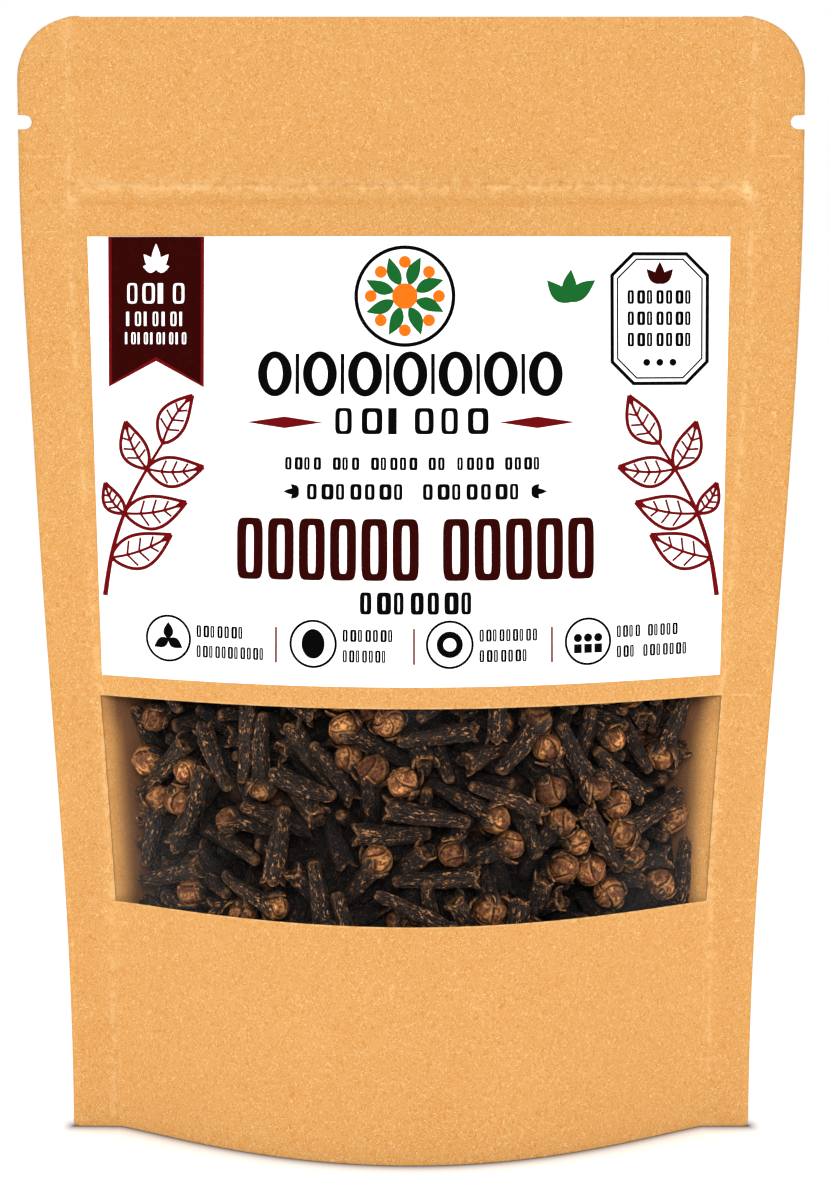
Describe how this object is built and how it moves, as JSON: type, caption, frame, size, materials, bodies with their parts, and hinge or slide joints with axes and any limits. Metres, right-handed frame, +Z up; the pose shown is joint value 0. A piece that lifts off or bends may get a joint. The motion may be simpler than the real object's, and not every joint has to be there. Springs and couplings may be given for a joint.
{
  "type": "stand-up pouch of whole cloves",
  "caption": "Shut kraft paper stand-up pouch with tear notches, zip ridges, a paper label and a clear window onto whole cloves.",
  "frame": {"origin": "centre of the oval base, on the surface that the pouch stands on", "axes": "+Z up, -Y out of the front face with the label and the window, +X to the right as seen from the front"},
  "size_m": [0.13, 0.052, 0.186],
  "materials": {
    "kraft_paper": "uncoated golden-brown kraft paper on a plastic liner, matt, with fine fibres",
    "label_paper": "smooth white printed paper, satin",
    "clear_film": "clear glossy film",
    "clove": "dried wrinkled flower buds, near-black brown stems and copper-brown buds"
  },
  "bodies": {
    "root": {"pouch": "kraft_paper", "label": "label_paper", "window_film": "clear_film", "cloves": "clove"}
  },
  "joints": []
}
